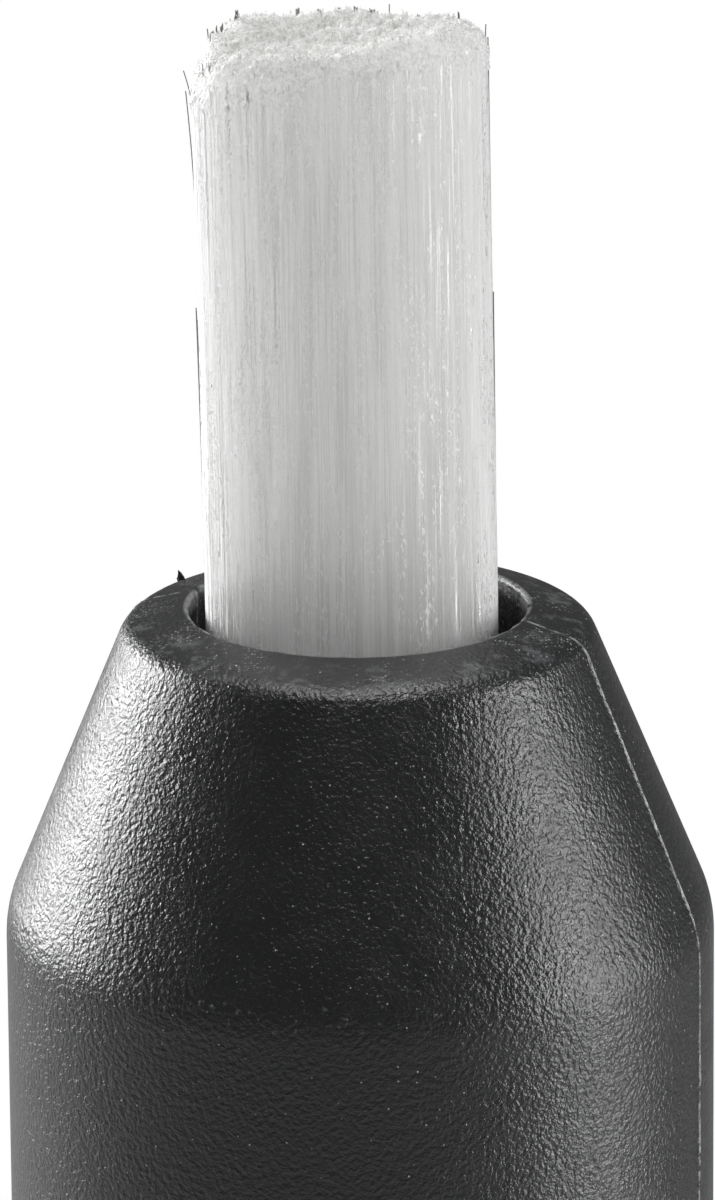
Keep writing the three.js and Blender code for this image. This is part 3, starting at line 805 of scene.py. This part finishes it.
class Shader:
    """One material's nodes. Inputs are sockets or plain values."""

    def __init__(self, name):
        self.material = bpy.data.materials.new(name)
        self.material.use_nodes = True
        self.tree = self.material.node_tree
        self.surface = self.tree.nodes["Principled BSDF"]
        place = self.node("ShaderNodeTexCoord").outputs["Object"]
        scale = self.node("ShaderNodeVectorMath", operation="SCALE")
        self.put(scale.inputs[0], place)
        self.put(scale.inputs["Scale"], 1 / MM)
        self.place = scale.outputs[0]
        parts = self.node("ShaderNodeSeparateXYZ")
        self.put(parts.inputs[0], self.place)
        self.x, self.y, self.z = parts.outputs

    def node(self, kind, **settings):
        made = self.tree.nodes.new(kind)
        for name, value in settings.items():
            setattr(made, name, value)
        return made

    def put(self, socket, value):
        if isinstance(value, bpy.types.NodeSocket):
            self.tree.links.new(value, socket)
        else:
            socket.default_value = value

    def set(self, **values):
        for name, value in values.items():
            self.put(self.surface.inputs[name.replace("_", " ")], value)

    def math(self, operation, a, b=0.0):
        made = self.node("ShaderNodeMath", operation=operation)
        self.put(made.inputs[0], a)
        self.put(made.inputs[1], b)
        return made.outputs[0]

    def joined(self, operation, values):
        result = values[0]
        for value in values[1:]:
            result = self.math(operation, result, value)
        return result

    def total(self, *values):
        return self.joined("ADD", values)

    def product(self, *values):
        return self.joined("MULTIPLY", values)

    def most(self, *values):
        return self.joined("MAXIMUM", values)

    def away(self, value, level):
        """How far a value is from a level, either way."""
        return self.math("ABSOLUTE", self.math("SUBTRACT", value, level))

    def from_axis(self):
        """Distance from the pen's axis."""
        squares = [self.product(side, side) for side in (self.x, self.y)]
        return self.math("SQRT", self.total(*squares))

    def band(self, value, low, high, at_low=0.0, at_high=1.0):
        """A smooth step of value from low to high."""
        made = self.node("ShaderNodeMapRange", interpolation_type="SMOOTHSTEP")
        for socket, number in zip(made.inputs, (value, low, high, at_low, at_high)):
            self.put(socket, number)
        return made.outputs[0]

    def noise(self, scale, detail=2.0, roughness=0.5, along=None):
        """Noise with features about 1 / scale millimetres wide, 1 / along times as long as wide."""
        made = self.node("ShaderNodeTexNoise")
        self.put(made.inputs["Vector"], self.drawn_out(along) if along else self.place)
        self.put(made.inputs["Scale"], scale)
        self.put(made.inputs["Detail"], detail)
        self.put(made.inputs["Roughness"], roughness)
        return made.outputs["Fac"]

    def drawn_out(self, along):
        """Places with the pen's length shrunk, so that a pattern over them is drawn out along it."""
        made = self.node("ShaderNodeVectorMath", operation="MULTIPLY")
        self.put(made.inputs[0], self.place)
        self.put(made.inputs[1], (1, 1, along))
        return made.outputs[0]

    def cells(self, scale):
        """Distance to the nearest of scattered points, and a random number for each point."""
        made = self.node("ShaderNodeTexVoronoi")
        self.put(made.inputs["Vector"], self.place)
        self.put(made.inputs["Scale"], scale)
        tone = self.node("ShaderNodeSeparateColor")
        self.put(tone.inputs[0], made.outputs["Color"])
        return made.outputs["Distance"], tone.outputs[0]

    def mix(self, share, first, second):
        """From the first colour to the second."""
        made = self.node("ShaderNodeMix", data_type="RGBA")
        self.put(made.inputs["Factor"], share)
        for socket, colour in zip((made.inputs[6], made.inputs[7]), (first, second)):
            self.put(socket, (*colour, 1) if isinstance(colour, tuple) else colour)
        return made.outputs[2]

    def attribute(self, name):
        return self.node("ShaderNodeAttribute", attribute_name=name).outputs["Fac"]

    def bump(self, height, depth, normal=None):
        """A bump whose full height is depth millimetres."""
        made = self.node("ShaderNodeBump")
        self.put(made.inputs["Distance"], depth * MM)
        self.put(made.inputs["Height"], height)
        if normal:
            self.put(made.inputs["Normal"], normal)
        return made.outputs[0]


def tinted(colour, factor):
    return tuple(factor * part for part in colour)


# Parts of the black plastic's materials

def mottled_black(shader):
    """The plastic's own colour, a little lighter in places."""
    return shader.mix(shader.noise(0.35, detail=3), BLACK, tinted(BLACK, MOTTLE))


def moulded_roughness(shader):
    return shader.band(shader.noise(1.5, detail=3), 0.3, 0.7, *BLACK_ROUGHNESS)


def mould_grain(shader):
    """Height of the coarse grain that a spark-eroded mould leaves."""
    return shader.noise(GRAIN_SCALE, detail=2, roughness=0.55)


def specks(shader, scale=6, size=0.085):
    """A mask of small bright dots, some fainter than others."""
    distance, chance = shader.cells(scale)
    near = shader.band(distance, 0.5 * size, 1.4 * size, 1, 0)
    return shader.product(near, shader.math("POWER", chance, 2.5))


def below_mouth(shader, deep, shallow, at_deep=0.0, at_shallow=1.0):
    """A smooth step between two depths below the mouth."""
    return shader.band(shader.z, MOUTH_HEIGHT - deep, MOUTH_HEIGHT - shallow, at_deep, at_shallow)


def below_surface(shader, radius, deep, shallow, at_deep=0.0, at_shallow=1.0):
    """A smooth step between two depths below the barrel's and the knob's outer surface."""
    return shader.band(radius, BARREL_RADIUS - deep, BARREL_RADIUS - shallow, at_deep, at_shallow)


def rubbed_edges(shader, radius):
    """A mask of the edges just under the outer surface, rubbed pale in patches."""
    above = below_surface(shader, radius, 0.15, 0.06)
    below = below_surface(shader, radius, 0.03, 0.004, 1, 0)
    patches = shader.band(shader.noise(1.3, detail=4, roughness=0.6), 0.35, 0.65)
    return shader.product(above, below, patches)


def parting_line(shader):
    """A mask of the line where the halves of the mould met, pale in patches."""
    along_x = shader.product(shader.x, math.cos(PARTING_BEARING))
    along_y = shader.product(shader.y, math.sin(PARTING_BEARING))
    across = shader.math("ABSOLUTE", shader.total(along_x, along_y))
    line = shader.band(across, 0.5 * RIDGE_WIDTH, 0.04, 1, 0)
    patches = shader.band(shader.noise(7, detail=3), 0.36, 0.6)
    return shader.product(line, patches)


def mouth_wear_and_highlight(shader, radius):
    """A mask of the mouth's edge, worn pale in patches and also painted pale as the edge's highlight.
    """
    edge = shader.band(shader.away(radius, MOUTH_RADIUS + 0.02), 0.02, 0.07, 1, 0)
    top = below_mouth(shader, 0.3, 0.12)
    patches = shader.band(shader.noise(4, detail=4), 0.34, 0.56)
    return shader.product(edge, top, patches)


def rubbed_rim(shader):
    """A mask of the rim's crown, rubbed in patches."""
    crown = shader.band(shader.away(shader.z, MOUTH_HEIGHT - 0.16), 0.02, 0.16, 1, 0)
    patches = shader.band(shader.noise(2.6, detail=5, roughness=0.7), 0.52, 0.66)
    return shader.product(crown, patches)


def chipped_shoulder(shader):
    """A mask of small scrapes where the cone meets the straight barrel."""
    shoulder = shader.band(shader.away(shader.z, MOUTH_HEIGHT - NOSE_LENGTH), 0.05, 0.25, 1, 0)
    chips = shader.band(shader.noise(9, detail=4, roughness=0.7), 0.6, 0.7)
    return shader.product(shoulder, chips)


def barrel_dust(shader):
    """A mask of fine dust in patches near the rim, and of larger specks all over."""
    near_rim = below_mouth(shader, 0.9, 0.1, 0, 0.6)
    patches = shader.band(shader.noise(1.8, detail=4, roughness=0.6), 0.5, 0.62)
    fine = shader.product(specks(shader, 24, 0.36), near_rim, patches)
    return shader.most(fine, specks(shader, 8, 0.1))


# Whole materials

def barrel_material():
    """The grained barrel, with a smoother worn rim, the mould's parting line, and a pale mouth edge
    that is partly wear and partly a painted highlight.
    """
    shader = Shader("barrel_grain")
    radius = shader.from_axis()
    behind_nose = below_mouth(shader, GRIP_INSET - 1, GRIP_INSET - 2, 1, 0)
    rings = shader.product(rubbed_edges(shader, radius), behind_nose)
    rubbed = shader.most(rubbed_rim(shader), rings)
    scuffed = shader.mix(shader.product(rubbed, RIM_RUB), mottled_black(shader), SCUFF)
    # Pale marks: the parting line, shoulder scrapes and dust, and the mouth's edge, which is worn and
    # also painted pale as a highlight
    pale = shader.most(
        shader.product(parting_line(shader), PARTING_PALE),
        shader.product(mouth_wear_and_highlight(shader, radius), MOUTH_PALE_AND_HIGHLIGHT),
        shader.product(chipped_shoulder(shader), SHOULDER_PALE),
        barrel_dust(shader),
    )
    groove = below_surface(shader, radius, 0.3, 0.05, GROOVE_ROUGHNESS, 0)
    dull_grooves = shader.product(groove, behind_nose)
    dull_rim = below_mouth(shader, 0.34, 0.12, *RIM_ROUGHNESS)
    rim_grain = below_mouth(shader, 0.36, 0.12, 1, 0.7)
    shader.set(
        Base_Color=shader.mix(pale, scuffed, SPECK_AND_HIGHLIGHT),
        Roughness=shader.most(moulded_roughness(shader), dull_rim, dull_grooves),
        Specular_IOR_Level=BLACK_SPECULAR,
        Normal=shader.bump(shader.product(mould_grain(shader), rim_grain), BARREL_GRAIN),
    )
    return shader.material


def flash_material():
    """Grained plastic, with specks."""
    shader = Shader("flash_grain")
    shader.set(
        Base_Color=shader.mix(specks(shader), mottled_black(shader), SPECK_AND_HIGHLIGHT),
        Roughness=moulded_roughness(shader),
        Specular_IOR_Level=BLACK_SPECULAR,
        Normal=shader.bump(mould_grain(shader), FLASH_GRAIN),
    )
    return shader.material


def knob_material():
    """Grained plastic, with rubbed edges and dust in its flutes."""
    shader = Shader("knob_grain")
    radius = shader.from_axis()
    edges = shader.product(rubbed_edges(shader, radius), KNOB_RUB)
    base = shader.mix(edges, mottled_black(shader), SCUFF)
    dusty = below_surface(shader, radius, FLUTE_DEPTH, 0.4 * FLUTE_DEPTH, FLUTE_DUST, 0)
    base = shader.mix(shader.product(dusty, shader.noise(2.5, detail=4)), base, SCUFF)
    dull_flutes = below_surface(shader, radius, FLUTE_DEPTH, 0, FLUTE_ROUGHNESS, 0.2)
    shader.set(
        Base_Color=shader.mix(specks(shader), base, SPECK_AND_HIGHLIGHT),
        Roughness=shader.most(moulded_roughness(shader), dull_flutes),
        Specular_IOR_Level=BLACK_SPECULAR,
        Normal=shader.bump(mould_grain(shader), KNOB_GRAIN),
    )
    return shader.material


def satin_plastic(name, colour):
    shader = Shader(name)
    shader.set(
        Base_Color=shader.mix(shader.noise(0.6, detail=4), tinted(colour, 0.85), colour),
        Roughness=shader.band(shader.noise(4, detail=3), 0.3, 0.7, *SATIN_ROUGHNESS),
        Normal=shader.bump(shader.noise(14), SATIN_GRAIN),
    )
    return shader.material


def metal(name, colour, roughness):
    """Drawn metal, with fine marks along the pen."""
    shader = Shader(name)
    marks = shader.noise(6, detail=4, along=0.05)
    shader.set(
        Base_Color=shader.mix(marks, tinted(colour, 0.8), colour),
        Metallic=1.0,
        Roughness=shader.band(marks, 0.3, 0.7, *roughness),
        Normal=shader.bump(marks, DRAWN_GRAIN),
    )
    return shader.material


def rubber(name):
    shader = Shader(name)
    shader.set(
        Base_Color=shader.mix(shader.noise(2), RUBBER_DARK, RUBBER_LIGHT),
        Roughness=RUBBER_ROUGHNESS,
        Normal=shader.bump(shader.noise(12), RUBBER_GRAIN),
    )
    return shader.material


def bundle_material():
    """The packed fibres: translucent, streaked along the strands and flecked with glints."""
    shader = Shader("packed_fibre")
    fine = shader.product(shader.noise(40, along=0.012), 0.4)
    middling = shader.product(shader.noise(11, along=0.025), 0.3)
    broad = shader.product(shader.noise(2.5, along=0.1), 0.3)
    strands = shader.band(shader.total(fine, middling, broad), 0.38, 0.62)
    colour = shader.mix(strands, FIBRE_DARK, FIBRE_LIGHT)
    cluster = shader.band(shader.noise(5, along=0.12), 0.46, 0.58)
    flecks = shader.band(shader.noise(30, detail=1, along=0.35), 0.58, 0.63)
    flecks = shader.product(flecks, cluster)
    lines = shader.band(shader.noise(24, detail=1, along=0.015), 0.64, 0.69)
    glints = shader.most(flecks, lines)
    cotton = shader.mix(shader.band(shader.noise(15, detail=3), 0.35, 0.65), FIBRE_DARK, FIBRE_GLINT)
    torn = shader.attribute("torn")
    clear = shader.band(strands, 0, 1, 0.88, 1)
    tangle = shader.bump(shader.noise(50, detail=1), TANGLE_HEIGHT)
    shader.set(
        Base_Color=shader.mix(torn, shader.mix(glints, colour, FIBRE_GLINT), cotton),
        Roughness=BUNDLE_ROUGHNESS,
        IOR=GLINT_IOR,
        Specular_IOR_Level=glints,
        Normal=shader.bump(flecks, FLECK_HEIGHT, tangle),
        Subsurface_Weight=shader.most(clear, glints, torn),
        Subsurface_Radius=SCATTER_COLOURS,
        Subsurface_Scale=shader.band(torn, EDGE_TORN, 1, BUNDLE_SCATTER * MM, FELT_SCATTER * MM),
    )
    return shader.material


def fibre_material(name, dark, light, soft=0.0, clear=0.0):
    """Single glass fibres, each with its own tone; the dark tones given for strays and bristles are
    painted shade. soft and clear are shares of light let in.
    """
    shader = Shader(name)
    streaks = shader.noise(9, detail=3, along=0.05)
    tone = shader.product(shader.total(streaks, shader.attribute("tone")), 0.5)
    shader.set(
        Base_Color=shader.mix(tone, dark, light),
        Roughness=FIBRE_ROUGHNESS,
        Subsurface_Weight=soft,
        Subsurface_Radius=SCATTER_COLOURS,
        Subsurface_Scale=FIBRE_SCATTER * MM,
        Transmission_Weight=clear,
    )
    return shader.material


def dress():
    """Gives every piece, and every CAD node that still shows, its material."""
    ivory = satin_plastic("acetal", IVORY)
    steel = metal("spring_steel", STEEL, STEEL_ROUGHNESS)
    brass = metal("drawn_brass", BRASS, BRASS_ROUGHNESS)
    # Strays and bristles get a dark grey colour: painted shade in place of the dark look that clear
    # glass takes through refraction
    shade_painted_fibres = fibre_material("clear_fibre_painted_shade", STRAY_PAINTED_SHADE_DARK, STRAY_PAINTED_SHADE_LIGHT, clear=0.3)
    materials = {
        "barrel_shell": barrel_material(),
        "mould_flash": flash_material(),
        "collar_ring": satin_plastic("collar_satin", COLLAR_BLACK),
        "fluted_knob": knob_material(),
        "knob_plug": satin_plastic("plug_satin", PLUG_BLACK),
        "fibre_ferrule": brass,
        "fibre_bundle_body": bundle_material(),
        "fibre_crumbs": fibre_material("broken_fibre", FIBRE_DARK, FIBRE_GLINT, soft=0.6),
        "fibre_fluff": fibre_material("glass_fibre", FIBRE_LIGHT, FIBRE_GLINT, soft=1.0),
        "fibre_bristles": shade_painted_fibres,
        "fibre_strays": shade_painted_fibres,
        "guide_sleeve": ivory,
        "drive_nut": ivory,
        "carrier": ivory,
        "lead_screw": satin_plastic("screw_plastic", SCREW_GREY),
        "drive_tube": brass,
        "thrust_washer": steel,
        "collet_ring": steel,
        "friction_ring": rubber("nitrile_rubber"),
    }
    for name, material in materials.items():
        mesh = bpy.data.objects[name].data
        mesh.materials.clear()
        mesh.materials.append(material)


# Studio

def softbox(name, bearing, elevation, distance, size, radiance):
    """A soft lamp that faces the nose. bearing and elevation are in degrees."""
    lamp = bpy.data.lights.new(name, "AREA")
    lamp.shape = "RECTANGLE"
    lamp.size = size[0] * MM
    lamp.size_y = size[1] * MM
    lamp.energy = radiance * math.pi * lamp.size * lamp.size_y
    made = bpy.data.objects.new(name, lamp)
    turn, rise = math.radians(bearing), math.radians(elevation)
    way = Vector((math.sin(turn) * math.cos(rise), -math.cos(turn) * math.cos(rise), math.sin(rise)))
    made.location = Vector((0, 0, MOUTH_HEIGHT * MM)) + way * distance * MM
    made.rotation_mode = "QUATERNION"
    made.rotation_quaternion = (-way).to_track_quat("-Z", "Y")
    made.visible_camera = False
    bpy.context.scene.collection.objects.link(made)


def make_lights():
    softbox("left_softbox", bearing=-126, elevation=9, distance=330, size=(230, 160), radiance=10.6)
    softbox("right_softbox", bearing=80, elevation=5, distance=210, size=(64, 210), radiance=7.4)
    softbox("top_softbox", bearing=180, elevation=82, distance=420, size=(320, 300), radiance=2.3)
    softbox("front_softbox", bearing=0, elevation=74, distance=400, size=(200, 160), radiance=3)


def make_world():
    """Soft light from all round, and the same white as the floor behind the pen."""
    world = bpy.data.worlds.new("studio")
    bpy.context.scene.world = world
    world.use_nodes = True
    tree = world.node_tree
    path = tree.nodes.new("ShaderNodeLightPath").outputs
    glows = {
        "Is Camera Ray": FLOOR_GLOW,
        "Is Transmission Ray": FLOOR_GLOW,
        "Is Glossy Ray": MIRRORED_GLOW,
    }
    strength = None
    for ray, glow in glows.items():
        level = tree.nodes.new("ShaderNodeMapRange")
        level.inputs["To Min"].default_value = WORLD_LIGHT
        level.inputs["To Max"].default_value = glow
        tree.links.new(path[ray], level.inputs["Value"])
        if strength is None:
            strength = level.outputs[0]
        else:
            brightest = tree.nodes.new("ShaderNodeMath")
            brightest.operation = "MAXIMUM"
            tree.links.new(strength, brightest.inputs[0])
            tree.links.new(level.outputs[0], brightest.inputs[1])
            strength = brightest.outputs[0]
    background = tree.nodes["Background"]
    background.inputs["Color"].default_value = (1, 1, 1, 1)
    tree.links.new(strength, background.inputs["Strength"])


def make_floor():
    """A pale floor: white to the camera away from the pen, with the pen's shadow round its foot."""
    signs = np.array([(-1, -1, 0), (1, -1, 0), (1, 1, 0), (-1, 1, 0)])
    floor = new_mesh("floor", FLOOR_SIZE / 2 * signs, [[0, 1, 2, 3]])
    shader = Shader("pale_floor")
    shader.set(Base_Color=FLOOR_COLOUR, Roughness=FLOOR_ROUGHNESS)
    path = shader.node("ShaderNodeLightPath").outputs
    away = shader.band(shader.from_axis(), *SHADOW_REACH, SHADOW_GLOW, FLOOR_GLOW)
    straight = shader.most(path["Is Camera Ray"], path["Is Transmission Ray"])
    seen = shader.product(straight, away)
    mirrored = shader.product(path["Is Glossy Ray"], MIRRORED_GLOW)
    blend = shader.node("ShaderNodeMixShader")
    shader.put(blend.inputs[0], shader.most(seen, mirrored))
    shader.put(blend.inputs[1], shader.surface.outputs[0])
    shader.put(blend.inputs[2], shader.node("ShaderNodeEmission").outputs[0])
    shader.put(shader.tree.nodes["Material Output"].inputs["Surface"], blend.outputs[0])
    floor.data.materials.append(shader.material)
    floor.location.z = -FLOOR_GAP * MM


def make_camera():
    """The photograph's view of the nose, from a little above the mouth."""
    data = bpy.data.cameras.new("camera")
    data.sensor_width = SENSOR
    data.lens = SENSOR * CAMERA_DISTANCE / FRAME_HEIGHT
    data.clip_start, data.clip_end = CAMERA_CLIP
    camera = bpy.data.objects.new("camera", data)
    way = Vector((0, -math.cos(CAMERA_ELEVATION), math.sin(CAMERA_ELEVATION)))
    camera.location = Vector((0, 0, CAMERA_AIM * MM)) + way * CAMERA_DISTANCE * MM
    camera.rotation_mode = "QUATERNION"
    aim = (-way).to_track_quat("-Z", "Y")
    camera.rotation_quaternion = aim @ Quaternion((0, 0, 1), -CAMERA_ROLL)
    bpy.context.scene.collection.objects.link(camera)
    bpy.context.scene.camera = camera


make_camera()
make_lights()
make_world()
make_floor()
make_barrel()
make_flash()
make_collar()
make_knob()
make_plug()
make_ferrule()
make_bundle()
make_crumbs()
make_fluff()
make_bristles()
make_strays()
dress()
bpy.context.scene.view_settings.view_transform = "Standard"
